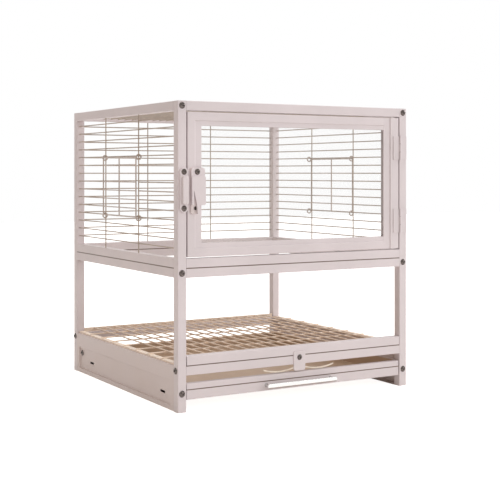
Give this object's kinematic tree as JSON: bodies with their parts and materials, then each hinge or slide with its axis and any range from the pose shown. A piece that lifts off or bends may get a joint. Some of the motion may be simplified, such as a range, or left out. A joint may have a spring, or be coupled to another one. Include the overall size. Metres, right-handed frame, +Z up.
{
  "type": "canary breeding cage",
  "caption": "Canary breeding cage on a square tube frame: glazed hinged front door with latch, wire walls and roof, sliding side feeder doors, open bay, lift-out floor grid and droppings drawer.",
  "frame": {"origin": "middle of the footprint, on the floor", "axes": "+X to the right seen from the front, +Y from the door to the back, +Z up"},
  "size_m": [0.456, 0.4565, 0.488],
  "materials": {
    "frame_paint": "satin powder coat, warm pinkish white",
    "sheet_paint": "satin powder coat, warm pinkish white",
    "wire_coating": "satin coated wire, grey-brown",
    "screw_steel": "dark zinc",
    "plug_plastic": "matte",
    "pane_glass": "clear, slightly hazy",
    "handle_aluminium": "bright anodised",
    "catch_wire_coating": "cream coated wire"
  },
  "bodies": {
    "frame": {"front_left_post": "frame_paint", "front_right_post": "frame_paint", "back_left_post": "frame_paint", "back_right_post": "frame_paint", "post_caps": "plug_plastic", "foot_plugs": "plug_plastic", "top_front_rail": "frame_paint", "top_back_rail": "frame_paint", "top_left_rail": "frame_paint", "top_right_rail": "frame_paint", "sill_front": "frame_paint", "sill_back": "frame_paint", "sill_left": "frame_paint", "sill_right": "frame_paint", "mid_front_rail": "frame_paint", "mid_back_rail": "frame_paint", "mid_left_rail": "frame_paint", "mid_right_rail": "frame_paint", "base_front_rail": "frame_paint", "base_back_rail": "frame_paint", "left_side_plate": "sheet_paint", "right_side_plate": "sheet_paint", "left_runner": "sheet_paint", "right_runner": "sheet_paint", "rail_plugs": "plug_plastic", "runner_plugs": "plug_plastic", "frame_screws": "screw_steel", "base_screws": "screw_steel", "left_wire_wall": "wire_coating", "right_wire_wall": "wire_coating", "back_wire_wall": "wire_coating", "roof_wires": "wire_coating", "hinge_post_leaves": "frame_paint", "hinge_pins": "screw_steel", "latch_keeper": "frame_paint", "keeper_screws": "screw_steel", "catch_plate": "frame_paint", "catch_wire": "catch_wire_coating", "catch_screw": "screw_steel"},
    "front_door": {"door_left_stile": "frame_paint", "door_hinge_stile": "frame_paint", "door_top_rail": "frame_paint", "door_bottom_rail": "frame_paint", "door_pane": "pane_glass", "hinge_door_leaves": "frame_paint", "latch_base": "sheet_paint", "latch_screws": "screw_steel"},
    "latch": {"latch_lever": "frame_paint"},
    "left_feeder": {"left_feeder_door": "wire_coating"},
    "right_feeder": {"right_feeder_door": "wire_coating"},
    "grid": {"grid_front_bar": "frame_paint", "floor_grid": "wire_coating"},
    "drawer": {"drawer_front": "frame_paint", "drawer_tray": "sheet_paint", "drawer_handle": "handle_aluminium", "handle_screws": "screw_steel"}
  },
  "joints": [
    {"name": "door_hinge", "type": "hinge", "parent": "frame", "child": "front_door", "pos_m": [0.21, -0.21715, 0.357], "axis": [0, 0, 1], "range_deg": [0, 170]},
    {"name": "latch_pivot", "type": "hinge", "parent": "front_door", "child": "latch", "pos_m": [-0.1931, -0.2169, 0.3767], "axis": [0, -1, 0], "range_deg": [0, 80]},
    {"name": "left_feeder_slide", "type": "slide", "parent": "frame", "child": "left_feeder", "axis": [0, 1, 0], "range_m": [0, 0.115]},
    {"name": "right_feeder_slide", "type": "slide", "parent": "frame", "child": "right_feeder", "axis": [0, 1, 0], "range_m": [0, 0.115]},
    {"name": "grid_lift", "type": "slide", "parent": "frame", "child": "grid", "axis": [0, 0, 1], "range_m": [0, 0.1]},
    {"name": "drawer_slide", "type": "slide", "parent": "frame", "child": "drawer", "axis": [0, -1, 0], "range_m": [0, 0.36]}
  ]
}
